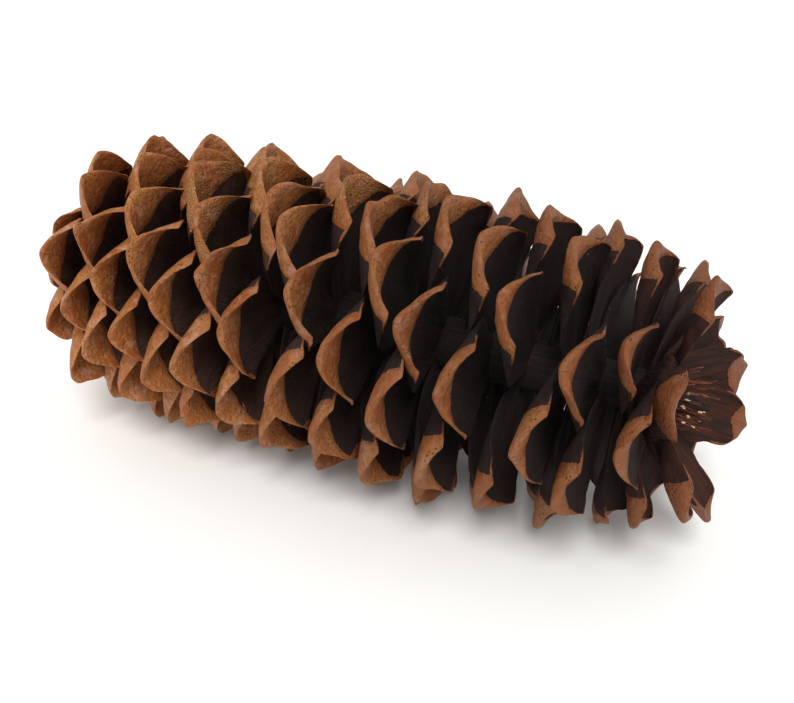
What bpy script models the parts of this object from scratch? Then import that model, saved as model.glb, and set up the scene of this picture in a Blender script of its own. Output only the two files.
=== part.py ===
# An open sugar pine cone lying on its side: woody scales set in a spiral on a slim axis.
# Metres, +Z up, +X towards the cone's tip, origin below the middle of its box on the surface.
import bmesh
import bpy
import math
import random
from mathutils import Matrix, Vector

# The spiral: scale 0 sits near the middle, negative numbers towards the stalk, positive towards the tip.
FIRST_SCALE = -80
LAST_SCALE = 85
DIVERGENCE = math.radians(137.25)
FIRST_TURN = math.radians(14.5)
SEED = 133

# How the scales change along the cone, at a few of them; the rest are read between these by a smooth curve.
# number: tip's place along the axis, tip's distance from the axis, lean towards the tip, half width, side rise
PROFILE = {
    -80: (-0.146, 0.027, 33, 0.0100, 0.002),
    -72: (-0.1365, 0.044, 30, 0.0134, 0.004),
    -62: (-0.1225, 0.0560, 26, 0.0160, 0.007),
    -30: (-0.077, 0.0605, 16, 0.0185, 0.0100),
    0: (-0.026, 0.060, 12, 0.0196, 0.0092),
    30: (0.034, 0.0585, 9, 0.0186, 0.0074),
    48: (0.073, 0.0560, 4, 0.0168, 0.0062),
    60: (0.100, 0.053, 1, 0.0150, 0.0053),
    70: (0.115, 0.0475, 10, 0.0128, 0.0045),
    78: (0.127, 0.040, 30, 0.0108, 0.0035),
    85: (0.137, 0.035, 50, 0.0096, 0.003),
}

# Scales that have broken off, and those that grew out of line: degrees round the axis and mm along it.
BROKEN_OFF = (60, 66, 71, 78, 81, 83, 84)
OUT_OF_LINE = {
    -29: (2, -1), -13: (3, -2), -8: (1, -1), -5: (6, -2), -3: (2, 4),
    0: (4, -5), 5: (-4, 0), 8: (5, 3), 13: (0, -4), 16: (-2, 4), 18: (-1, 3),
    21: (0, -2), 26: (0, -2), 29: (-3, 2), 34: (0, -4), 39: (-2, 2), 42: (0, -3),
    44: (-2, 1), 47: (0, -2), 50: (-6, 6), 55: (0, 5), 57: (-4, -8), 63: (4, 9),
    65: (-3, -4), 68: (0, -3), 73: (-6, 6), 74: (-8, -4), 77: (10, -2), 79: (2, 4),
    80: (16, 3), 82: (6, 3), 85: (18, 1),
}

# The axis that carries the scales: place along it and radius, from the broken stalk to the tip.
AXIS_PROFILE = (
    (-0.1760, 0.0070),
    (-0.1600, 0.0085),
    (-0.1300, 0.0105),
    (-0.0300, 0.0110),
    (0.0500, 0.0100),
    (0.0950, 0.0085),
    (0.1180, 0.0070),
    (0.1290, 0.0035),
)
AXIS_SIDES = 10

# One scale, as shares of its own length and half width.
ROOT_DEPTH = 0.55          # share of the axis radius at which a scale starts
ROOT_WIDTH = 0.30          # half width at the root, as a share of the widest
TIP_BOW = 0.14             # how far back the side corners lie from the tip
ROUNDNESS = 1.6            # power that rounds the tip's edge
CREST = 0.73               # place along the scale where its inner face begins to slope back to the tip
CREST_SLOPE = 0.0017       # how far it slopes back
ROOT_THICKNESS = 0.0030
CREST_THICKNESS = 0.0054
TIP_THICKNESS = 0.0050     # down from the level of the crest
RIM_THICKNESS = 0.0015     # at the side edges
THICKNESS = ((0.0, ROOT_THICKNESS), (CREST, CREST_THICKNESS), (1.0, TIP_THICKNESS))
ROWS = ((0.0, 2), (CREST, 3), (1.0, 5))    # place along the scale and points across it

# No two scales are alike: the most that each may turn, lean, grow and twist from the rule.
TURN_SPREAD = math.radians(2.0)
LEAN_SPREAD = math.radians(1.2)
SIZE_SPREAD = 0.035
TWIST_SPREAD = math.radians(3.0)

# How the cone lies: rolled about its axis and pitched so that three tips carry it, each worn flat.
ROLL = math.radians(121.89)
PITCH = math.radians(0.83)
WEAR = 0.0006


def clearScene():
    for item in list(bpy.data.objects):
        bpy.data.objects.remove(item, do_unlink=True)


def makeMaterial(name, colour, roughness):
    material = bpy.data.materials.new(name)
    material.use_nodes = True
    shader = material.node_tree.nodes["Principled BSDF"]
    shader.inputs["Base Color"].default_value = (*colour, 1.0)
    shader.inputs["Roughness"].default_value = roughness
    shader.inputs["Metallic"].default_value = 0.0
    return material


def smoothRead(table, x):
    # A curve through the table's points with matching slopes, so nothing kinks between them.
    keys = sorted(table)
    x = min(max(x, keys[0]), keys[-1])
    i = max(k for k in range(len(keys) - 1) if keys[k] <= x)
    a, b = keys[i], keys[i + 1]
    t = (x - a) / (b - a)
    values = []
    for p, q, before, after in zip(table[a], table[b], slopeAt(table, keys, i), slopeAt(table, keys, i + 1)):
        h00 = 2 * t ** 3 - 3 * t ** 2 + 1
        h10 = t ** 3 - 2 * t ** 2 + t
        h01 = -2 * t ** 3 + 3 * t ** 2
        h11 = t ** 3 - t ** 2
        values.append(h00 * p + h10 * (b - a) * before + h01 * q + h11 * (b - a) * after)
    return values


def slopeAt(table, keys, i):
    lower = keys[max(i - 1, 0)]
    upper = keys[min(i + 1, len(keys) - 1)]
    return [(q - p) / (upper - lower) for p, q in zip(table[lower], table[upper])]


def readLine(table, x):
    # Straight lines between the table's points.
    for (x0, y0), (x1, y1) in zip(table, table[1:]):
        if x <= x1:
            return y0 + (y1 - y0) * max(x - x0, 0.0) / (x1 - x0)
    return table[-1][1]


def scaleValues():
    # One draw of small departures for each scale, in the order of the spiral.
    draw = random.Random(SEED)
    scales = []
    for number in range(FIRST_SCALE, LAST_SCALE + 1):
        along, reach, lean, halfWidth, sideRise = smoothRead(PROFILE, number)
        turnAside, shift = OUT_OF_LINE.get(number, (0.0, 0.0))
        size = 1.0 + draw.uniform(-SIZE_SPREAD, SIZE_SPREAD)
        turn = FIRST_TURN + number * DIVERGENCE + math.radians(turnAside)
        scales.append({
            "number": number,
            "turn": turn + draw.uniform(-TURN_SPREAD, TURN_SPREAD),
            "lean": math.radians(lean) + draw.uniform(-LEAN_SPREAD, LEAN_SPREAD),
            "along": along + 0.001 * shift,
            "reach": reach * size,
            "halfWidth": halfWidth * (1.0 + draw.uniform(-SIZE_SPREAD, SIZE_SPREAD)),
            "sideRise": sideRise,
            "twist": draw.uniform(-TWIST_SPREAD, TWIST_SPREAD),
        })
    return [scale for scale in scales if scale["number"] not in BROKEN_OFF]


def scalePoint(scale, k, v, side):
    # k runs from root to tip, v from edge to edge, side is 0 on the face towards the cone's tip, 1 on the other.
    out = scale["length"] * (k - TIP_BOW * k * k * abs(v) ** ROUNDNESS)
    across = v * scale["halfWidth"] * (ROOT_WIDTH + (1.0 - ROOT_WIDTH) * math.sin(0.5 * math.pi * k))
    rise = scale["sideRise"] * (k * v) ** 2
    if side == 0:
        depth = CREST_SLOPE * max(k - CREST, 0.0) / (1.0 - CREST) * (1.0 - v * v)
    else:
        depth = RIM_THICKNESS + (readLine(THICKNESS, k) - RIM_THICKNESS) * (1.0 - v * v)
    return Vector((out, across, rise - depth))


def scaleMatrix(scale):
    # Local X runs out along the scale, Y across it and Z towards the cone's tip.
    turn = scale["turn"]
    outward = Vector((0.0, math.sin(turn), -math.cos(turn)))
    ahead = Vector((1.0, 0.0, 0.0))
    lean = scale["lean"]
    x = outward * math.cos(lean) + ahead * math.sin(lean)
    z = ahead * math.cos(lean) - outward * math.sin(lean)
    y = z.cross(x)
    frame = Matrix((x, y, z)).transposed().to_4x4()
    toTip = scale["reach"] / math.cos(lean)
    root = scale["along"] - toTip * math.sin(lean)
    start = ROOT_DEPTH * readLine(AXIS_PROFILE, root)
    scale["length"] = toTip - start
    frame.translation = ahead * root + x * start
    return frame @ Matrix.Rotation(scale["twist"], 4, "X")


def bridgeRows(bm, lower, upper):
    # Joins two rows of points that may differ in number, always splitting at the nearer next point.
    i, j = 0, 0
    while i < len(lower) - 1 or j < len(upper) - 1:
        nextLower = (i + 1) / (len(lower) - 1) if i < len(lower) - 1 else 2.0
        nextUpper = (j + 1) / (len(upper) - 1) if j < len(upper) - 1 else 2.0
        if nextUpper <= nextLower:
            bm.faces.new((lower[i], upper[j + 1], upper[j]))
            j += 1
        else:
            bm.faces.new((lower[i], lower[i + 1], upper[j]))
            i += 1


def makeScale(scale, collection):
    frame = scaleMatrix(scale)
    bm = bmesh.new()
    rows = {0: [], 1: []}
    for side in rows:
        for k, count in ROWS:
            across = [2.0 * i / (count - 1) - 1.0 for i in range(count)]
            rows[side].append([bm.verts.new(frame @ scalePoint(scale, k, v, side)) for v in across])
    for side in rows:
        for lower, upper in zip(rows[side], rows[side][1:]):
            bridgeRows(bm, lower, upper)
    for end in (0, -1):
        top, bottom = rows[0][end], rows[1][end]
        for i in range(len(top) - 1):
            bm.faces.new((top[i], top[i + 1], bottom[i + 1], bottom[i]))
    for edge in (0, -1):
        for i in range(len(ROWS) - 1):
            bm.faces.new((rows[0][i][edge], rows[0][i + 1][edge], rows[1][i + 1][edge], rows[1][i][edge]))
    bmesh.ops.triangulate(bm, faces=bm.faces[:])
    bmesh.ops.recalc_face_normals(bm, faces=bm.faces[:])
    mesh = bpy.data.meshes.new("scale")
    bm.to_mesh(mesh)
    bm.free()
    collection.objects.link(bpy.data.objects.new("scale", mesh))


def makeAxis():
    # The profile spun round the cone's own axis, closed at both ends.
    bm = bmesh.new()
    profile = [bm.verts.new((x, 0.0, r)) for x, r in AXIS_PROFILE]
    edges = [bm.edges.new(pair) for pair in zip(profile, profile[1:])]
    bmesh.ops.spin(bm, geom=profile + edges, cent=(0, 0, 0), axis=(1, 0, 0), angle=2 * math.pi,
                   steps=AXIS_SIDES, use_merge=True)
    bmesh.ops.remove_doubles(bm, verts=bm.verts[:], dist=0.00001)
    bmesh.ops.holes_fill(bm, edges=bm.edges[:], sides=AXIS_SIDES)
    bmesh.ops.recalc_face_normals(bm, faces=bm.faces[:])
    mesh = bpy.data.meshes.new("cone")
    bm.to_mesh(mesh)
    bm.free()
    cone = bpy.data.objects.new("cone", mesh)
    bpy.context.scene.collection.objects.link(cone)
    return cone


def fuseScales(cone, collection):
    union = cone.modifiers.new("scales", "BOOLEAN")
    union.operation = "UNION"
    union.operand_type = "COLLECTION"
    union.collection = collection
    union.solver = "EXACT"
    bpy.context.view_layer.update()
    fused = bpy.data.meshes.new_from_object(cone.evaluated_get(bpy.context.evaluated_depsgraph_get()))
    cone.modifiers.clear()
    cone.data = fused
    for item in list(collection.objects):
        bpy.data.objects.remove(item, do_unlink=True)
    bpy.data.collections.remove(collection)


def layDown(cone):
    # Turned to rest, then worn flat where the lowest tips meet the surface.
    mesh = cone.data
    mesh.transform(Matrix.Rotation(-ROLL, 4, "X"))
    mesh.transform(Matrix.Rotation(PITCH, 4, "Y"))
    lowest = min(v.co.z for v in mesh.vertices)
    mesh.transform(Matrix.Translation((0.0, 0.0, -lowest - WEAR)))
    bm = bmesh.new()
    bm.from_mesh(mesh)
    cut = bmesh.ops.bisect_plane(bm, geom=bm.verts[:] + bm.edges[:] + bm.faces[:], dist=0.000001,
                                 plane_co=(0, 0, 0), plane_no=(0, 0, 1), clear_inner=True)
    rim = [item for item in cut["geom_cut"] if isinstance(item, bmesh.types.BMEdge)]
    bmesh.ops.edgeloop_fill(bm, edges=rim)
    bmesh.ops.triangulate(bm, faces=bm.faces[:])
    low = [min(v.co[i] for v in bm.verts) for i in range(3)]
    high = [max(v.co[i] for v in bm.verts) for i in range(3)]
    middle = [0.5 * (a + b) for a, b in zip(low, high)]
    bmesh.ops.translate(bm, verts=bm.verts[:], vec=(-middle[0], -middle[1], 0.0))
    bm.to_mesh(mesh)
    bm.free()
    mesh.validate()
    mesh.shade_smooth()
    mesh.set_sharp_from_angle(angle=math.radians(40))


def main():
    clearScene()
    collection = bpy.data.collections.new("scales")
    bpy.context.scene.collection.children.link(collection)
    for scale in scaleValues():
        makeScale(scale, collection)
    cone = makeAxis()
    fuseScales(cone, collection)
    layDown(cone)
    cone.data.materials.clear()
    cone.data.materials.append(makeMaterial("cone scale wood", (0.34, 0.16, 0.065), 0.65))


main()
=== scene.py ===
# An open sugar pine cone lying on its side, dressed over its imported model.
# Metres, +Z up, +X towards the cone's tip, the surface at zero.
import math
import random

import bmesh
import bpy
from mathutils import Matrix, Vector, noise


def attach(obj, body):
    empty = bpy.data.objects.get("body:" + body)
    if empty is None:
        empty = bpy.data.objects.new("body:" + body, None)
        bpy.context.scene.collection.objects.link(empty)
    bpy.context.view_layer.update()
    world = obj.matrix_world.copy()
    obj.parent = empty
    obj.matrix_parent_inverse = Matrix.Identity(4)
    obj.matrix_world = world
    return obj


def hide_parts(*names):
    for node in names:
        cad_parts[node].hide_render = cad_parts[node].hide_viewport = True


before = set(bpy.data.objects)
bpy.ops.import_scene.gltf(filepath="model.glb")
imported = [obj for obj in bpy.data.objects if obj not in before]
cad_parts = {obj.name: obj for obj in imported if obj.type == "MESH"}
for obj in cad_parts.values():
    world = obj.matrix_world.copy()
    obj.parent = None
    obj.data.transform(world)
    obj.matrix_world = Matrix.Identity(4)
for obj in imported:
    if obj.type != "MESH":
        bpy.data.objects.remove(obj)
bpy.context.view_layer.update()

# The spiral of the solid model, repeated here so that each fine scale stands where its plain one does.
spiral = {
    "firstScale": -80,
    "lastScale": 85,
    "divergence": 137.25,      # degrees from one scale to the next
    "firstTurn": 14.5,
    "seed": 133,
    "turnSpread": 2.0,         # the most that a scale turns, leans, grows and twists from the rule
    "leanSpread": 1.2,
    "sizeSpread": 0.035,
    "twistSpread": 3.0,
}

# number: tip's place along the axis, tip's distance from the axis, lean, half width, side rise
scaleProfile = {
    -80: (-0.146, 0.027, 33, 0.0100, 0.002),
    -72: (-0.1365, 0.044, 30, 0.0134, 0.004),
    -62: (-0.1225, 0.0560, 26, 0.0160, 0.007),
    -30: (-0.077, 0.0605, 16, 0.0185, 0.0100),
    0: (-0.026, 0.060, 12, 0.0196, 0.0092),
    30: (0.034, 0.0585, 9, 0.0186, 0.0074),
    48: (0.073, 0.0560, 4, 0.0168, 0.0062),
    60: (0.100, 0.053, 1, 0.0150, 0.0053),
    70: (0.115, 0.0475, 10, 0.0128, 0.0045),
    78: (0.127, 0.040, 30, 0.0108, 0.0035),
    85: (0.137, 0.035, 50, 0.0096, 0.003),
}

# scales that have broken off, and those that grew out of line: degrees round the axis and mm along it
brokenOff = (60, 66, 71, 78, 81, 83, 84)
outOfLine = {
    -29: (2, -1), -13: (3, -2), -8: (1, -1), -5: (6, -2), -3: (2, 4),
    0: (4, -5), 5: (-4, 0), 8: (5, 3), 13: (0, -4), 16: (-2, 4), 18: (-1, 3),
    21: (0, -2), 26: (0, -2), 29: (-3, 2), 34: (0, -4), 39: (-2, 2), 42: (0, -3),
    44: (-2, 1), 47: (0, -2), 50: (-6, 6), 55: (0, 5), 57: (-4, -8), 63: (4, 9),
    65: (-3, -4), 68: (0, -3), 73: (-6, 6), 74: (-8, -4), 77: (10, -2), 79: (2, 4),
    80: (16, 3), 82: (6, 3), 85: (18, 1),
}

# place along the axis and radius, from the broken stalk to the tip
axisProfile = (
    (-0.1760, 0.0070),
    (-0.1600, 0.0085),
    (-0.1300, 0.0105),
    (-0.0300, 0.0110),
    (0.0500, 0.0100),
    (0.0950, 0.0085),
    (0.1180, 0.0070),
    (0.1290, 0.0035),
)

# how the cone lies: rolled about its axis, pitched, then shifted so that its box stands on the origin
lie = {
    "roll": 121.89,
    "pitch": 0.83,
    "shift": (0.019749, -0.000150, 0.060825),
}

scaleForm = {
    "rootDepth": 0.55,         # share of the axis radius at which a scale starts
    "rootWidth": 0.30,         # half width at the root, as a share of the widest
    "tipBow": 0.14,            # how far back the side corners lie from the tip, as a share of the length
    "roundness": 2.7,
    "nose": 0.60,              # half width of the round nose, as a share of the scale's
    "noseShare": 0.50,         # share of the bow that the nose and its straight flanks make
    "cornerTuck": 0.25,        # how much narrower the end is, which rounds its two corners
    "tuckFrom": 0.76,
    "fullness": 0.46,          # how much wider the middle of the blade is, on scales near the tip
    "roundedLength": 0.0020,   # what the rounding of the rim would take from the length
    "crest": 0.73,             # where the blade is thickest
    "bevel": 0.10,             # share of the thickness by which the exposed inner face slopes to the rim
    "bevelRound": 0.46,        # and by which it then rounds over
    "underRound": 0.40,        # and the same for the outer face, close to the rim
    "underFrom": 0.80,
    "rootThickness": 0.0030,
    "waist": 0.42,             # the blade is thinnest here
    "waistThickness": 0.0026,
    "crestThickness": 0.0058,
    "rimThickness": 0.0015,
    "keel": 1.9,               # power across the blade, near 1 for a sharp ridge down its middle
    "plainHalfWidth": 0.0186,  # a scale as wide as this has the full thickness
}

scaleDetail = {
    "cutsAlong": 24,
    "cutsAcross": 19,
    "cutsThrough": 4,
    "crowding": 1.5,           # more than 1 crowds the rows towards the tip
    "rimWave": 0.0022,         # how far the rim strays in and out
    "rimWaveLength": 0.007,
    "warp": 0.0012,            # slow bends of the whole blade
    "warpLength": 0.030,
    "skew": 0.0012,            # the most that a tip stands to one side
    "dimple": 0.00045,         # unevenness of the exposed end
    "dimpleLength": 0.0042,
    "umbo": 0.0006,            # the small boss at the middle of the tip
    "umboWidth": 0.14,
    "rimRounding": 0.50,       # share of its own height that the rim bulges out
    "crease": 0.00022,         # height of the faint crease down the middle of the exposed end
    "creaseWidth": 0.035,
    "tipBand": 0.0112,         # how far the tan reaches from the rim onto the inner face, at the middle
    "sideBand": 0.0016,        # and at the sides
    "bandShape": 1.5,          # power across the scale: near 1 the tan's edge has a corner at the middle
    "bandSpread": 0.18,
    "bedStep": 0.00035,        # the tan stands this much above the dark inner face
    "seedHollow": 0.0008,      # depth of the two seed beds on the inner face
    "seedPlace": 0.42,         # how far to each side a bed lies, as a share of the half width
    "seedWidth": 0.24,
    "strayLength": 0.004,      # the crease wanders in waves of this length
    "stray": 0.04,             # and to each side by this share of the half width
    "sideWave": 0.6,           # share of the rim's straying that its sides show
    "innerDimple": 0.6,        # share of the unevenness that the inner face shows
    "heldFlat": 1.4,           # how much flatter a held back side is, for each share that it is narrower
    "sideFade": 0.003,         # how far the tan border draws back towards the root
    "knobPower": 1.3,          # power across the scale of the outer tan's start
    "noiseSteps": (3.17, 1.31, 0.5),
    "placeStep": 0.05,         # metres that the wood's patterns move on from one scale to the next
}

# spans of a blade, from its root at 0 to its rim at 1, over which each form sets in
bladeSpans = {
    "held": (0.45, 0.90),
    "rimWave": (0.72, 1.0),
    "umbo": (0.9, 1.0),
    "warp": (0.25, 0.9),
    "dimple": (0.55, 0.8),
    "seedStart": (0.04, 0.16),
    "seedEnd": (0.42, 0.62),
    "sideBand": (0.62, 0.92),
    "sideFade": (0.55, 0.85),
}

# spans of scale numbers, from the stalk end to the tip, over which a form or a colour changes
numberSpans = {
    "youth": (50, 80),
    "alongCone": (-60, 60),
    "baseWiden": (-65, -5),
    "tipNarrow": (10, 55),
    "edgeNarrow": (5, 45),
    "knobShift": (-45, 15),
    "knobBare": (-78, -58),
    "knobSlant": (-65, -20),
    "fullness": (5, 35),
}


def layMatrix():
    # from the upright spiral's own frame to the cone as it lies
    roll = Matrix.Rotation(-math.radians(lie["roll"]), 4, "X")
    pitch = Matrix.Rotation(math.radians(lie["pitch"]), 4, "Y")
    return Matrix.Translation(lie["shift"]) @ pitch @ roll


def slopeAt(table, keys, i):
    lower = keys[max(i - 1, 0)]
    upper = keys[min(i + 1, len(keys) - 1)]
    return [(q - p) / (upper - lower) for p, q in zip(table[lower], table[upper])]


def smoothRead(table, x):
    # a curve through the table's points with matching slopes
    keys = sorted(table)
    x = min(max(x, keys[0]), keys[-1])
    i = max(k for k in range(len(keys) - 1) if keys[k] <= x)
    a, b = keys[i], keys[i + 1]
    t = (x - a) / (b - a)
    values = []
    for p, q, before, after in zip(table[a], table[b], slopeAt(table, keys, i), slopeAt(table, keys, i + 1)):
        h00 = 2 * t ** 3 - 3 * t ** 2 + 1
        h10 = t ** 3 - 2 * t ** 2 + t
        h01 = -2 * t ** 3 + 3 * t ** 2
        h11 = t ** 3 - t ** 2
        values.append(h00 * p + h10 * (b - a) * before + h01 * q + h11 * (b - a) * after)
    return values


def readLine(table, x):
    for (x0, y0), (x1, y1) in zip(table, table[1:]):
        if x <= x1:
            return y0 + (y1 - y0) * max(x - x0, 0.0) / (x1 - x0)
    return table[-1][1]


def ease(low, high, x):
    t = min(max((x - low) / (high - low), 0.0), 1.0)
    return t * t * (3.0 - 2.0 * t)


def alongBlade(name, k):
    return ease(*bladeSpans[name], k)


def alongSpiral(name, number):
    return ease(*numberSpans[name], number)


def scaleValues():
    # the same draws, in the same order, as the solid model's
    draw = random.Random(spiral["seed"])
    grow = spiral["sizeSpread"]
    turnSpread = math.radians(spiral["turnSpread"])
    leanSpread = math.radians(spiral["leanSpread"])
    twistSpread = math.radians(spiral["twistSpread"])
    scales = []
    for number in range(spiral["firstScale"], spiral["lastScale"] + 1):
        along, reach, lean, halfWidth, sideRise = smoothRead(scaleProfile, number)
        turnAside, shift = outOfLine.get(number, (0.0, 0.0))
        size = 1.0 + draw.uniform(-grow, grow)
        turn = math.radians(spiral["firstTurn"] + number * spiral["divergence"] + turnAside)
        scales.append({
            "number": number,
            "turn": turn + draw.uniform(-turnSpread, turnSpread),
            "lean": math.radians(lean) + draw.uniform(-leanSpread, leanSpread),
            "along": along + 0.001 * shift,
            "reach": reach * size,
            "halfWidth": halfWidth * (1.0 + draw.uniform(-grow, grow)),
            "sideRise": sideRise,
            "twist": draw.uniform(-twistSpread, twistSpread),
        })
    return [scale for scale in scales if scale["number"] not in brokenOff]


def placeScale(scale):
    # local X runs out along the scale, Y across it and Z towards the cone's tip
    turn = scale["turn"]
    outward = Vector((0.0, math.sin(turn), -math.cos(turn)))
    ahead = Vector((1.0, 0.0, 0.0))
    lean = scale["lean"]
    x = outward * math.cos(lean) + ahead * math.sin(lean)
    z = ahead * math.cos(lean) - outward * math.sin(lean)
    turned = Matrix((x, z.cross(x), z)).transposed().to_4x4()
    toTip = scale["reach"] / math.cos(lean)
    root = scale["along"] - toTip * math.sin(lean)
    start = scaleForm["rootDepth"] * readLine(axisProfile, root)
    scale["length"] = toTip - start
    turned.translation = ahead * root + x * start
    return turned @ Matrix.Rotation(scale["twist"], 4, "X")


def makeTemplate():
    # a cube cut into fine rows: X is along the scale, Y across it, +Z the face towards the cone's tip
    bm = bmesh.new()
    bmesh.ops.create_cube(bm, size=2.0)
    cuts = (scaleDetail["cutsAlong"], scaleDetail["cutsAcross"], scaleDetail["cutsThrough"])
    for axis, count in enumerate(cuts):
        edges = [e for e in bm.edges if abs(e.verts[0].co[axis] - e.verts[1].co[axis]) > 1.5]
        bmesh.ops.subdivide_edges(bm, edges=edges, cuts=count, use_grid_fill=True)
    # the closed root end lies inside the axis and is left out of sight
    template = bpy.data.meshes.new("scaleTemplate")
    bm.to_mesh(template)
    bm.free()
    return template


def bladeThickness(scale, k, v):
    form = scaleForm
    full = min(0.4 + 0.6 * scale["halfWidth"] / form["plainHalfWidth"], 1.0)
    if k < form["waist"]:
        middle = form["rootThickness"] + (form["waistThickness"] - form["rootThickness"]) * k / form["waist"]
    else:
        swell = ease(form["waist"], form["crest"], k)
        middle = form["waistThickness"] + (form["crestThickness"] * full - form["waistThickness"]) * swell
    rim = form["rimThickness"] * (0.5 + 0.5 * ease(form["waist"], 0.9, k))
    return rim + (middle - rim) * (1.0 - abs(v) ** form["keel"])


def tanDistance(scale, k, v, side, widest):
    # signed distance to the edge of the tan, more than zero inside it, and the tan's width here
    detail = scaleDetail
    sideBand = detail["sideBand"] * scale["edging"]
    across = 1.0 - abs(v) ** detail["bandShape"]
    band = sideBand + (detail["tipBand"] * scale["band"] - sideBand) * across
    inner = band - (1.0 - k) * scale["length"]
    edge = sideBand * alongBlade("sideBand", k) - (1.0 - abs(v)) * widest
    inner = max(inner, edge - (1.0 - alongBlade("sideFade", k)) * detail["sideFade"])
    # the outer face's tan reaches furthest down the middle, where no neighbour covered it
    slant = scale["knobSlant"] * abs(v) ** detail["knobPower"]
    outer = (k - scale["knobStart"] - slant) * scale["length"]
    if abs(v) > 0.999:
        # the side edges change slantwise, so that the tan runs out in a point
        return inner + (outer - inner) * side ** 2, band
    if side <= 0.001:
        return inner, band
    if side >= 0.999:
        return outer, band
    return max(inner, outer), band


def shapeScale(scale, place, corner, shift):
    # returns the point, its place on the blade and its distance into the tan, in metres
    form, detail = scaleForm, scaleDetail
    x, v, z = corner
    length, half = scale["length"], scale["halfWidth"]
    k = 1.0 - (1.0 - 0.5 * (x + 1.0)) ** detail["crowding"]
    side = 0.5 * (1.0 - z)
    widest = half * (form["rootWidth"] + (1.0 - form["rootWidth"]) * math.sin(0.5 * math.pi * k))
    widest *= 1.0 + scale["fullness"] * math.sin(math.pi * min(k / form["tuckFrom"], 1.0)) ** 0.8
    widest *= 1.0 - form["cornerTuck"] * max((k - form["tuckFrom"]) / (1.0 - form["tuckFrom"]), 0.0) ** 2
    if v < 0.0:
        widest *= 1.0 - scale["trim"] * alongBlade("held", k)
    nose = form["nose"]
    nosed = (math.hypot(v, nose) - nose) / (math.hypot(1.0, nose) - nose)
    bow = (1.0 - form["noseShare"]) * abs(v) ** form["roundness"] + form["noseShare"] * nosed
    out = length * (k - form["tipBow"] * k * k * bow) + form["roundedLength"] * k ** 4
    across = v * widest
    here = Vector((out, across, 0.0))
    wave = noise.noise(here / detail["rimWaveLength"] + shift) * detail["rimWave"] * scale["wear"]
    umbo = detail["umbo"] * math.exp(-(v / detail["umboWidth"]) ** 2) * alongBlade("umbo", k)
    out += wave * alongBlade("rimWave", k) + umbo
    across += math.copysign(wave, v) * detail["sideWave"] * ease(0.6, 1.0, abs(v)) + scale["skew"] * k * k
    rise = scale["sideRise"] * (k * v) ** 2
    if v < 0.0:
        rise *= 1.0 - detail["heldFlat"] * scale["trim"]
    rise += detail["warp"] * noise.noise(here / detail["warpLength"] + shift * 1.7) * alongBlade("warp", k)
    thickness = bladeThickness(scale, k, v)
    tan, band = tanDistance(scale, k, v, side, widest)
    # the inner face slopes from the tan's edge to the rim and rounds over; the outer one rounds up to meet it
    towards = min(max(1.0 - (1.0 - k) * length / max(band, 0.004), 0.0), 1.0)
    over = 1.0 - math.sqrt(1.0 - towards ** 2)
    under = 1.0 - math.sqrt(1.0 - (max(k - form["underFrom"], 0.0) / (1.0 - form["underFrom"])) ** 2)
    top = rise - thickness * (form["bevel"] * towards + form["bevelRound"] * over)
    bottom = rise - thickness * (1.0 - form["underRound"] * under)
    bulge = detail["rimRounding"] * (top - bottom) * math.sin(math.pi * side) if 0.0 < side < 1.0 else 0.0
    if x > 0.999:
        out += bulge
    if abs(v) > 0.999:
        across += math.copysign(bulge, v)
    height = top + side * (bottom - top)
    bump = noise.noise(here / detail["dimpleLength"] + shift * 2.3)
    bump *= detail["dimple"] * alongBlade("dimple", k)
    if side < 0.5:
        stray = detail["stray"] * noise.noise(Vector((out / detail["strayLength"], shift.x, 3.0)))
        creased = math.exp(-((v + stray) / detail["creaseWidth"]) ** 2) * ease(0.0, 0.002, tan)
        height += bump * detail["innerDimple"] + detail["crease"] * creased * (1.0 - over)
        height += detail["bedStep"] * (ease(-0.0006, 0.0012, tan) - 1.0)
        beds = math.exp(-((abs(v) - detail["seedPlace"]) / detail["seedWidth"]) ** 2)
        beds *= alongBlade("seedStart", k) * (1.0 - alongBlade("seedEnd", k))
        height -= detail["seedHollow"] * beds
    else:
        height -= bump * (1.0 - under)
    where = Vector((out, across, height + scale["number"] * detail["placeStep"]))
    return place @ Vector((out, across, height)), where, tan


def finishPiece(bm, name, smooth=False):
    # turns the faces outwards and puts what was built into the scene as one piece
    bmesh.ops.recalc_face_normals(bm, faces=bm.faces[:])
    mesh = bpy.data.meshes.new(name)
    bm.to_mesh(mesh)
    bm.free()
    if smooth:
        mesh.shade_smooth()
    piece = bpy.data.objects.new(name, mesh)
    bpy.context.scene.collection.objects.link(piece)
    return piece


def makeScales(name, numbers, scales, template):
    bm = bmesh.new()
    placeLayer = bm.verts.layers.float_vector.new("place")
    tanLayer = bm.verts.layers.float.new("tanDistance")
    toneLayer = bm.verts.layers.float.new("tone")
    youthLayer = bm.verts.layers.float.new("youth")
    alongLayer = bm.verts.layers.float.new("alongCone")
    resinLayer = bm.verts.layers.float.new("resin")
    laid = layMatrix()
    stepX, stepY, level = scaleDetail["noiseSteps"]
    for scale in scales:
        number = scale["number"]
        if number not in numbers:
            continue
        place = laid @ placeScale(scale)
        shift = Vector((number * stepX, number * stepY, level))
        start = len(bm.verts)
        bm.from_mesh(template)
        bm.verts.ensure_lookup_table()
        youth = alongSpiral("youth", number)
        alongCone = alongSpiral("alongCone", number)
        for vert in bm.verts[start:]:
            point, where, tan = shapeScale(scale, place, vert.co, shift)
            point.z = max(point.z, 0.0)
            vert.co = point
            vert[placeLayer] = where
            vert[tanLayer] = tan * 1000.0
            vert[toneLayer] = scale["tone"]
            vert[youthLayer] = youth
            vert[alongLayer] = alongCone
            vert[resinLayer] = scale["resin"]
    return finishPiece(bm, name, smooth=True)


# scales with dried resin on them: how thickly it lies
resinScales = {-24: 1.0, -16: 0.75, -48: 0.8, 10: 0.35}

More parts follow.
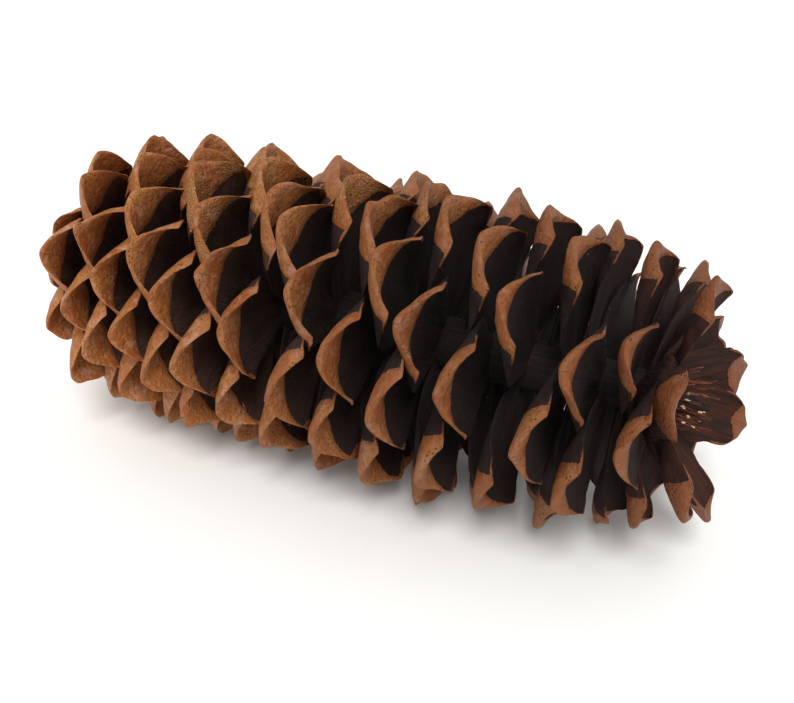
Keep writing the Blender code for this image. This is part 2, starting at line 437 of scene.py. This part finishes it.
# scales with one side held back by a neighbour, and how much narrower and flatter that side is
heldBack = {-34: 0.30, -18: 0.34, 16: 0.30}

# draws that only change the look: how far single scales are worn, from little to much
lookSeed = 7
wearChoices = (0.6, 0.8, 1.0, 1.8)

# how the tan on a scale changes along the cone
tanReach = {
    "baseWiden": 0.75,         # the stalk end's scales show more of it
    "tipNarrow": 0.62,         # and those towards the tip less than half as much
    "edgeNarrow": 0.75,        # and the thin border along their sides fades out
    "broad": {73: 1.5, 80: 1.7, 85: 1.7},
    "knobStart": 0.57,         # place along the scale where the outer face's tan begins
    "knobShift": 0.12,         # how much later it begins towards the tip
    "knobBare": 0.25,          # and how much earlier on the stalk end's scales, which nothing covers
    "knobSlant": 0.24,         # how much later it begins at the scale's sides
}


def dressNumbers(scales):
    # these draws are kept apart from the spiral's own
    draw = random.Random(lookSeed)
    for scale in scales:
        number = scale["number"]
        scale["band"] = 1.0 + draw.uniform(-1.0, 1.0) * scaleDetail["bandSpread"]
        scale["tone"] = draw.random()
        scale["skew"] = draw.uniform(-1.0, 1.0) * scaleDetail["skew"]
        scale["wear"] = draw.choice(wearChoices)
        scale["resin"] = resinScales.get(number, 0.0)
        scale["trim"] = heldBack.get(number, 0.0)
        scale["band"] *= 1.0 + tanReach["baseWiden"] * (1.0 - alongSpiral("baseWiden", number))
        scale["band"] *= 1.0 - tanReach["tipNarrow"] * alongSpiral("tipNarrow", number)
        scale["band"] *= tanReach["broad"].get(number, 1.0)
        scale["edging"] = 1.0 - tanReach["edgeNarrow"] * alongSpiral("edgeNarrow", number)
        scale["knobStart"] = tanReach["knobStart"] + tanReach["knobShift"] * alongSpiral("knobShift", number)
        scale["knobStart"] -= tanReach["knobBare"] * (1.0 - alongSpiral("knobBare", number))
        scale["knobSlant"] = tanReach["knobSlant"] * (0.4 + 0.6 * alongSpiral("knobSlant", number))
        scale["fullness"] = scaleForm["fullness"] * alongSpiral("fullness", number)


axisDetail = {
    "sides": 40,
    "ridges": 0.0007,
    "ridgeNoise": (90, 5, 5),  # how fast the ridges change along the axis and round it
    "rowLength": 0.003,
    "snap": 0.005,             # unevenness of the broken stalk
    "snapLength": 0.0022,
    "snapReach": 0.009,        # how far from its end the stalk is uneven
    "frayFrom": 0.112,         # the broken tip tapers away among its torn fibres
    "frayedShare": 0.25,       # what is left of its radius at the very end
    "splinters": 64,           # torn fibres where the tip has broken off
    "splinterFrom": 0.110,
    "splinterLength": (0.008, 0.021),
    "splinterWidth": 0.0009,
    "splinterSpread": 0.0066,
    "splinterFlare": 26.0,     # degrees
    "splinterTurn": 9.0,       # degrees
    "splinterFlat": 0.45,
    "splinterPoint": 0.22,     # what is left of a fibre's width at its end
    "splinterCuts": 5,
    "bend": 0.0007,
    "bendLength": 0.006,
    "flecks": 34,              # crumbs of dried resin on the fibres
    "fleckSize": (0.0003, 0.0006),
    "fleckWave": 0.0003,
    "fleckWaveLength": 0.0008,
    "seed": 11,
}


def makeAxis():
    bm = bmesh.new()
    profile = []
    low, high = axisProfile[0][0], axisProfile[-1][0]
    rows = int((high - low) / axisDetail["rowLength"])
    for i in range(rows + 1):
        x = low + (high - low) * i / rows
        profile.append(bm.verts.new((x, 0.0, readLine(axisProfile, x))))
    edges = [bm.edges.new(pair) for pair in zip(profile, profile[1:])]
    bmesh.ops.spin(bm, geom=profile + edges, cent=(0, 0, 0), axis=(1, 0, 0), angle=2 * math.pi,
                   steps=axisDetail["sides"], use_merge=True)
    bmesh.ops.remove_doubles(bm, verts=bm.verts[:], dist=0.00001)
    bmesh.ops.holes_fill(bm, edges=bm.edges[:], sides=axisDetail["sides"])
    along, aside, up = axisDetail["ridgeNoise"]
    for vert in bm.verts:
        x, y, z = vert.co
        angle = math.atan2(y, z)
        rough = noise.noise(Vector((x * along, math.cos(angle) * aside, math.sin(angle) * up)))
        grow = 1.0 + axisDetail["ridges"] * rough / max(math.hypot(y, z), 0.002)
        grow *= 1.0 - (1.0 - axisDetail["frayedShare"]) * ease(axisDetail["frayFrom"], high, x)
        # the stalk has snapped off unevenly
        snapped = noise.noise(Vector((y, z, 0.0)) * grow / axisDetail["snapLength"]) * 0.5 + 0.5
        x += axisDetail["snap"] * snapped * (1.0 - ease(low, low + axisDetail["snapReach"], x))
        vert.co = (x, y * grow, z * grow)
    bmesh.ops.transform(bm, matrix=layMatrix(), verts=bm.verts[:])
    return finishPiece(bm, "axis", smooth=True)


def splinterFrames():
    # where each torn fibre stands, its length and its width
    draw = random.Random(axisDetail["seed"])
    frames = []
    most = axisDetail["splinterTurn"]
    for i in range(axisDetail["splinters"]):
        angle = draw.uniform(0.0, 2.0 * math.pi)
        off = axisDetail["splinterSpread"] * math.sqrt(draw.random())
        flare = math.radians(axisDetail["splinterFlare"]) * off / axisDetail["splinterSpread"]
        turned = Matrix.Rotation(angle, 4, "X") @ Matrix.Translation((axisDetail["splinterFrom"], 0.0, off))
        turned = turned @ Matrix.Rotation(math.radians(90.0) - flare * draw.uniform(0.3, 1.1), 4, "Y")
        turned = turned @ Matrix.Rotation(math.radians(draw.uniform(-most, most)), 4, "X")
        length = draw.uniform(*axisDetail["splinterLength"])
        frames.append((turned, length, axisDetail["splinterWidth"] * draw.uniform(0.5, 1.3)))
    return frames


def makeSplinters():
    bm = bmesh.new()
    laid = layMatrix()
    flat = Matrix.Diagonal((1.0, axisDetail["splinterFlat"], 1.0, 1.0))
    for turned, length, width in splinterFrames():
        middle = laid @ turned @ Matrix.Translation((0.0, 0.0, 0.5 * length))
        point = axisDetail["splinterPoint"] * width
        made = bmesh.ops.create_cone(bm, cap_ends=True, segments=6, radius1=width, radius2=point,
                                     depth=length, matrix=middle @ flat)
        # cut into short lengths and bent a little, as torn fibres are
        corners = set(made["verts"])
        edges = [e for e in bm.edges if e.verts[0] in corners and e.calc_length() > 0.5 * length]
        bmesh.ops.subdivide_edges(bm, edges=edges, cuts=axisDetail["splinterCuts"], use_grid_fill=True)
    # this noise differs from one run to the next unless it is seeded
    noise.seed_set(axisDetail["seed"])
    for vert in bm.verts:
        vert.co += noise.noise_vector(vert.co / axisDetail["bendLength"]) * axisDetail["bend"]
    return finishPiece(bm, "splinters")


def makeFlecks():
    draw = random.Random(axisDetail["seed"] + 1)
    bm = bmesh.new()
    laid = layMatrix()
    frames = splinterFrames()
    for i in range(axisDetail["flecks"]):
        turned, length, width = draw.choice(frames)
        size = draw.uniform(*axisDetail["fleckSize"])
        aside = draw.uniform(-0.6, 0.6) * width
        up = draw.uniform(0.35, 0.95) * length
        along = Matrix.Translation((aside, 0.2 * width, up))
        flat = Matrix.Diagonal((draw.uniform(0.7, 1.2), draw.uniform(0.4, 0.8), draw.uniform(0.8, 1.9), 1.0))
        bmesh.ops.create_icosphere(bm, subdivisions=2, radius=size, matrix=laid @ turned @ along @ flat)
    noise.seed_set(axisDetail["seed"])
    for vert in bm.verts:
        vert.co += noise.noise_vector(vert.co / axisDetail["fleckWaveLength"]) * axisDetail["fleckWave"]
    return finishPiece(bm, "resinCrumbs")


# Materials

def fromHex(value):
    # sRGB hex to linear
    channels = [int(value[i:i + 2], 16) / 255.0 for i in (1, 3, 5)]
    linear = [c / 12.92 if c <= 0.04045 else ((c + 0.055) / 1.055) ** 2.4 for c in channels]
    return (*linear, 1.0)


def addNode(tree, kind, inputs=None, **settings):
    # sockets are linked and plain values are set, by name or by number
    node = tree.nodes.new(kind)
    for name, value in settings.items():
        setattr(node, name, value)
    for name, value in (inputs or {}).items():
        if isinstance(value, bpy.types.NodeSocket):
            tree.links.new(value, node.inputs[name])
        else:
            node.inputs[name].default_value = value
    return node


def mixColour(tree, factor, first, second):
    return addNode(tree, "ShaderNodeMix", {0: factor, 6: first, 7: second}, data_type="RGBA").outputs[2]


def mixNumber(tree, factor, first, second):
    return addNode(tree, "ShaderNodeMix", {0: factor, 2: first, 3: second}, data_type="FLOAT").outputs[0]


def mathOf(tree, operation, first, second):
    return addNode(tree, "ShaderNodeMath", {0: first, 1: second}, operation=operation).outputs[0]


def attributeOf(tree, name, output="Fac"):
    return addNode(tree, "ShaderNodeAttribute", attribute_name=name).outputs[output]


def stretchedAlong(tree, vector, squeeze):
    return addNode(tree, "ShaderNodeMapping", {"Vector": vector, "Scale": (squeeze, 1.0, 1.0)}).outputs[0]


def axisPart(tree, vector, axis):
    return addNode(tree, "ShaderNodeSeparateXYZ", {"Vector": vector}).outputs[axis]


def bumpOf(tree, height, strength, distance):
    node = addNode(tree, "ShaderNodeBump", {"Height": height, "Strength": strength, "Distance": distance})
    return node.outputs["Normal"]


def newMaterial(name):
    material = bpy.data.materials.new(name)
    material.use_nodes = True
    return material, material.node_tree, material.node_tree.nodes["Principled BSDF"]


coneWood = {
    "tan": "#a66d3c",
    "tanLight": "#c08c5a",
    "tanPink": "#c2957a",
    "tanRed": "#9a562c",
    "tanDeep": "#62361c",
    "tanYoung": "#6d381d",
    "pit": "#4a2a1a",
    "inner": "#120c0b",
    "innerRed": "#2c1a15",
    "innerBase": "#5e4135",
    "innerYoung": "#3e1d11",
    "speck": "#cfc6b8",
    "resin": "#dcb46a",
    "axisDark": "#0f0908",
    "axisLight": "#261610",
    "fibreDark": "#3a1910",
    "fibreLight": "#8a4c30",
    "stalkDark": "#3a2016",
    "stalkLight": "#7d5638",
    "crumbDark": "#a8754a",
    "crumbLight": "#e0c9a6",
}

# noises in the wood: length of the pattern in mm, detail, roughness
woodNoises = {
    "patches": (13.0, 4.0, 0.6),     # slow drifts of colour
    "mottle": (2.2, 5.0, 0.62),
    "weather": (7.0, 4.0, 0.65),
    "grain": (0.7, 3.0, 0.6),        # coarser than the real grain so that it shows
    "streaks": (2.1, 3.0, 0.6),
    "fibres": (1.2, 4.0, 0.6),
    "crumbs": (0.9, 3.0, 0.6),
}

# points strewn over the wood: mm from one to the next
woodPoints = {
    "pits": 1.5,
    "dust": 11.0,              # pale specks
    "resin": 1.1,              # crystals of dried resin
}

# layers of colour: colour, the pattern's value where it sets in and where it ends, share at each, curve
woodLayers = {
    "ground": ("tan", 0.36, 0.62),
    "mottle": ("tanLight", 0.46, 0.70, 0.0, 0.70),
    "weather": ("tanPink", 0.52, 0.68, 0.0, 0.75),
    "tone": ("tanRed", 0.0, 1.0, 0.0, 0.40, "LINEAR"),
    "alongCone": ("tanDeep", 0.0, 1.0, 0.0, 0.62, "LINEAR"),
    "youth": ("tanYoung", 0.0, 1.0, 0.0, 0.60, "LINEAR"),
    "tanEdge": ("tanYoung", 0.0, 2.5, 0.40, 0.0),
    "innerGrain": ("innerRed", 0.40, 0.70),
    "innerBase": ("innerBase", 0.0, 0.85, 0.90, 0.02),
    "dust": ("speck", 0.016, 0.028, 1.0, 0.0),
    "axisFibres": ("axisLight", 0.4, 0.7),
    "tornFibres": ("fibreLight", 0.4, 0.7),
    "stalkFibres": ("stalkLight", 0.35, 0.65),
    "crumbs": ("crumbLight", 0.35, 0.65),
}

# the same without a colour: two values of a pattern, what each gives, and the curve between them
woodSpans = {
    "pits": (0.10, 0.30, 1.0, 0.0),
    "pittedPatches": (0.48, 0.64),
    "crackStray": (0.3, 0.7, -0.0009, 0.0009, "LINEAR"),
    "crack": (0.00015, 0.00040, 1.0, 0.0),
    "crackedParts": (0.42, 0.58),
    "crystals": (0.15, 0.5, 1.0, 0.0),
    "resinPatches": (0.40, 0.56),
    "outerInner": (-18.0, -1.0, 0.0, 0.5),
    "redStreaks": (0.35, 0.65),
    "youngStreaks": (0.38, 0.62, 0.1, 0.85),
    "edgeWander": (0.0, 1.0, -0.8, 0.8, "LINEAR"),
    "edge": (-0.16, 0.16),
    "innerRoughness": (0.3, 0.7, 0.82, 1.0),
    "tanRoughness": (0.3, 0.7, 0.36, 0.58),
    "stalk": (-0.142, -0.130, 1.0, 0.0),
}

woodFinish = {
    "grainSqueeze": 0.12,      # less than 1 draws the grain out along a scale
    "fibreSqueeze": 0.15,
    "pitShade": 0.6,           # share of the pits' own colour
    "crackShade": 0.55,
    "grainRelief": 0.25,
    "pitRelief": 0.7,
    "innerRelief": 0.7,
    "tanLift": 0.5,            # the tan's relief stands above the inner face's
    "bumpStrength": 1.0,
    "bump": 0.0013,
    "ior": 1.45,
    "specular": 0.30,
    "fibreBumpStrength": 0.8,
    "fibreBump": 0.0006,
    "fibreSpecular": 0.35,
    "axisRoughness": 0.9,
    "fibreRoughness": 0.4,
    "crumbRoughness": 0.35,
    "crumbIor": 1.52,
}


def woodColour(name):
    return fromHex(coneWood[name])


def noiseOf(tree, vector, name):
    size, detail, roughness = woodNoises[name]
    node = addNode(tree, "ShaderNodeTexNoise",
                   {"Vector": vector, "Scale": 1000.0 / size, "Detail": detail, "Roughness": roughness})
    return node.outputs["Fac"]


def pointsOf(tree, vector, name):
    # distance to the nearest of the strewn points
    node = addNode(tree, "ShaderNodeTexVoronoi", {"Vector": vector, "Scale": 1000.0 / woodPoints[name]})
    return node.outputs["Distance"]


def rangeOf(tree, value, low, high, toLow=0.0, toHigh=1.0, kind="SMOOTHSTEP"):
    node = addNode(tree, "ShaderNodeMapRange",
                   {"Value": value, "From Min": low, "From Max": high, "To Min": toLow, "To Max": toHigh},
                   interpolation_type=kind)
    return node.outputs["Result"]


def spanOf(tree, pattern, name):
    return rangeOf(tree, pattern, *woodSpans[name])


def layOver(tree, under, pattern, name):
    # lays one more colour over those before it, where its pattern shows
    colour, *span = woodLayers[name]
    return mixColour(tree, rangeOf(tree, pattern, *span), under, woodColour(colour))


def makeScaleWood():
    # Dried cone scale: a weathered, satin tan crust over the exposed end and smooth, nearly black wood inside
    material, tree, shader = newMaterial("driedConeScaleWood")
    finish = woodFinish
    place = attributeOf(tree, "place", "Vector")
    tanDistanceMm = attributeOf(tree, "tanDistance")
    youth = attributeOf(tree, "youth")
    alongCone = attributeOf(tree, "alongCone")

    patches = noiseOf(tree, place, "patches")
    mottle = noiseOf(tree, place, "mottle")
    weather = noiseOf(tree, place, "weather")
    alongScale = stretchedAlong(tree, place, finish["grainSqueeze"])
    grain = noiseOf(tree, alongScale, "grain")
    streaks = noiseOf(tree, alongScale, "streaks")
    pits = spanOf(tree, pointsOf(tree, place, "pits"), "pits")
    somePits = mathOf(tree, "MULTIPLY", pits, spanOf(tree, patches, "pittedPatches"))

    tan = layOver(tree, woodColour("tanRed"), patches, "ground")
    tan = layOver(tree, tan, mottle, "mottle")
    # weathered, pinkish grey patches
    tan = layOver(tree, tan, weather, "weather")
    tan = layOver(tree, tan, attributeOf(tree, "tone"), "tone")
    tan = layOver(tree, tan, alongCone, "alongCone")
    tan = layOver(tree, tan, youth, "youth")
    # the tan deepens just before it stops
    tan = layOver(tree, tan, tanDistanceMm, "tanEdge")
    tan = mixColour(tree, mathOf(tree, "MULTIPLY", somePits, finish["pitShade"]), tan, woodColour("pit"))
    # a fine dark crack wanders down the middle of many scales
    strayed = mathOf(tree, "ADD", axisPart(tree, place, "Y"), spanOf(tree, weather, "crackStray"))
    fromCrack = mathOf(tree, "ABSOLUTE", strayed, 0.0)
    crack = mathOf(tree, "MULTIPLY", spanOf(tree, fromCrack, "crack"), spanOf(tree, mottle, "crackedParts"))
    tan = mixColour(tree, mathOf(tree, "MULTIPLY", crack, finish["crackShade"]), tan, woodColour("pit"))
    crystals = spanOf(tree, pointsOf(tree, place, "resin"), "crystals")
    resinHere = mathOf(tree, "MULTIPLY", attributeOf(tree, "resin"), spanOf(tree, patches, "resinPatches"))
    crusted = mathOf(tree, "MULTIPLY", resinHere, crystals)
    tan = mixColour(tree, crusted, tan, woodColour("resin"))

    inner = layOver(tree, woodColour("inner"), grain, "innerGrain")
    inner = layOver(tree, inner, alongCone, "innerBase")
    outward = spanOf(tree, tanDistanceMm, "outerInner")
    reddened = mathOf(tree, "MULTIPLY", outward, spanOf(tree, streaks, "redStreaks"))
    inner = mixColour(tree, reddened, inner, woodColour("innerRed"))
    young = mathOf(tree, "MULTIPLY", youth, spanOf(tree, streaks, "youngStreaks"))
    inner = mixColour(tree, young, inner, woodColour("innerYoung"))
    inner = layOver(tree, inner, pointsOf(tree, place, "dust"), "dust")

    edgeAt = mathOf(tree, "ADD", tanDistanceMm, spanOf(tree, mottle, "edgeWander"))
    isTan = spanOf(tree, edgeAt, "edge")
    tree.links.new(mixColour(tree, isTan, inner, tan), shader.inputs["Base Color"])

    innerRough = spanOf(tree, grain, "innerRoughness")
    tanRough = spanOf(tree, mottle, "tanRoughness")
    tree.links.new(mixNumber(tree, isTan, innerRough, tanRough), shader.inputs["Roughness"])
    shader.inputs["IOR"].default_value = finish["ior"]
    shader.inputs["Specular IOR Level"].default_value = finish["specular"]

    raised = mathOf(tree, "ADD", mottle, mathOf(tree, "MULTIPLY", grain, finish["grainRelief"]))
    pitted = mathOf(tree, "MULTIPLY", somePits, finish["pitRelief"])
    relief = mathOf(tree, "ADD", mathOf(tree, "SUBTRACT", raised, pitted), crusted)
    innerRelief = mathOf(tree, "MULTIPLY", grain, finish["innerRelief"])
    tanRelief = mathOf(tree, "ADD", relief, finish["tanLift"])
    height = mixNumber(tree, isTan, innerRelief, tanRelief)
    tree.links.new(bumpOf(tree, height, finish["bumpStrength"], finish["bump"]), shader.inputs["Normal"])
    return material


def makeAxisWood(name, dark, light, roughness):
    # Cone axis: fibrous wood, dark with old resin, which leaves freshly torn fibres glossy
    material, tree, shader = newMaterial(name)
    finish = woodFinish
    place = addNode(tree, "ShaderNodeTexCoord").outputs["Object"]
    fibres = noiseOf(tree, stretchedAlong(tree, place, finish["fibreSqueeze"]), "fibres")
    colour = layOver(tree, woodColour(dark), fibres, light)
    # the stalk, out in the open, has weathered to brown
    stalk = spanOf(tree, axisPart(tree, place, "X"), "stalk")
    weathered = layOver(tree, woodColour("stalkDark"), fibres, "stalkFibres")
    tree.links.new(mixColour(tree, stalk, colour, weathered), shader.inputs["Base Color"])
    shader.inputs["Roughness"].default_value = roughness
    shader.inputs["Specular IOR Level"].default_value = finish["fibreSpecular"]
    relief = bumpOf(tree, fibres, finish["fibreBumpStrength"], finish["fibreBump"])
    tree.links.new(relief, shader.inputs["Normal"])
    return material


def makeResin():
    # Dried resin: pale, brittle and slightly glossy
    material, tree, shader = newMaterial("driedResin")
    place = addNode(tree, "ShaderNodeTexCoord").outputs["Object"]
    colour = layOver(tree, woodColour("crumbDark"), noiseOf(tree, place, "crumbs"), "crumbs")
    tree.links.new(colour, shader.inputs["Base Color"])
    shader.inputs["Roughness"].default_value = woodFinish["crumbRoughness"]
    shader.inputs["IOR"].default_value = woodFinish["crumbIor"]
    return material


# Stage, light and camera

photo = {"width": 794, "height": 703}

cameraFit = {
    "tilt": 25.6,              # degrees that the cone's tip leans towards the camera
    "drop": 14.8,              # degrees that the cone's axis runs down to the right
    "distance": 893.0,         # in the picture's own pixels, which is also the focal length in them
    "axisPixel": (381.0, 326.0),
    "pixelSize": 0.0004,       # metres to one pixel at the axis's middle
    "sensor": 36.0,
}


def makeCamera():
    tilt, drop = math.radians(cameraFit["tilt"]), math.radians(cameraFit["drop"])
    # the cone's own X, Y and Z as the camera sees them: right, down and away
    coneX = Vector((math.cos(tilt) * math.cos(drop), math.cos(tilt) * math.sin(drop), -math.sin(tilt)))
    coneY = Vector((-math.sin(drop), math.cos(drop), 0.0))
    coneZ = coneX.cross(coneY)
    toCamera = Matrix((coneX, coneY, coneZ)).transposed()
    pixelX, pixelY = cameraFit["axisPixel"]
    middle = Vector((pixelX - 0.5 * photo["width"], pixelY - 0.5 * photo["height"], cameraFit["distance"]))
    middle *= cameraFit["pixelSize"]
    toCone = toCamera.transposed()
    right, down, away = (toCone @ Vector(axis) for axis in ((1, 0, 0), (0, 1, 0), (0, 0, 1)))
    placed = Matrix((right, -down, -away)).transposed().to_4x4()
    placed.translation = -(toCone @ middle)
    data = bpy.data.cameras.new("camera")
    data.sensor_width = cameraFit["sensor"]
    data.lens = cameraFit["sensor"] * cameraFit["distance"] / photo["width"]
    data.clip_start = 0.01
    camera = bpy.data.objects.new("camera", data)
    camera.matrix_world = layMatrix() @ placed
    bpy.context.scene.collection.objects.link(camera)
    bpy.context.scene.camera = camera


stageLook = {
    "floorSize": 16.0,
    "floor": "#f0efed",
    "floorRoughness": 0.9,
    "world": "#f1f0ee",
    "worldStrength": 0.84,
    "sunStrength": 2.5,
    "sunSoftness": 28.0,
    "sunFrom": (0.38, -0.58, 0.95),
}


def makeStage():
    bm = bmesh.new()
    bmesh.ops.create_grid(bm, x_segments=1, y_segments=1, size=0.5 * stageLook["floorSize"])
    mesh = bpy.data.meshes.new("floor")
    bm.to_mesh(mesh)
    bm.free()
    floor = bpy.data.objects.new("floor", mesh)
    bpy.context.scene.collection.objects.link(floor)
    material, _, shader = newMaterial("paleCard")
    shader.inputs["Base Color"].default_value = fromHex(stageLook["floor"])
    shader.inputs["Roughness"].default_value = stageLook["floorRoughness"]
    mesh.materials.append(material)


def makeLight():
    scene = bpy.context.scene
    world = bpy.data.worlds.new("softRoom")
    world.use_nodes = True
    background = world.node_tree.nodes["Background"]
    background.inputs["Color"].default_value = fromHex(stageLook["world"])
    background.inputs["Strength"].default_value = stageLook["worldStrength"]
    scene.world = world
    data = bpy.data.lights.new("softSun", "SUN")
    data.energy = stageLook["sunStrength"]
    data.angle = math.radians(stageLook["sunSoftness"])
    sun = bpy.data.objects.new("softSun", data)
    sun.rotation_euler = Vector(stageLook["sunFrom"]).to_track_quat("Z", "Y").to_euler()
    scene.collection.objects.link(sun)
    scene.view_settings.view_transform = "Standard"


makeCamera()
makeStage()
makeLight()
print("stage, light and camera set")

scales = scaleValues()
dressNumbers(scales)
template = makeTemplate()
scaleWood = makeScaleWood()
groups = {
    "scalesBase": range(-80, -40),
    "scalesLower": range(-40, 1),
    "scalesUpper": range(1, 42),
    "scalesTip": range(42, 86),
}
pieces = []
for name, numbers in groups.items():
    piece = makeScales(name, numbers, scales, template)
    piece.data.materials.append(scaleWood)
    pieces.append(piece)
    print(name, "made")
bpy.data.meshes.remove(template)

axis = makeAxis()
axisWood = makeAxisWood("fibrousConeAxisWood", "axisDark", "axisFibres", woodFinish["axisRoughness"])
axis.data.materials.append(axisWood)
splinters = makeSplinters()
tornWood = makeAxisWood("tornConeFibre", "fibreDark", "tornFibres", woodFinish["fibreRoughness"])
splinters.data.materials.append(tornWood)
flecks = makeFlecks()
flecks.data.materials.append(makeResin())
print("axis, splinters and resin made")

for piece in pieces + [axis, splinters, flecks]:
    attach(piece, "root")
    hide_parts("cone")
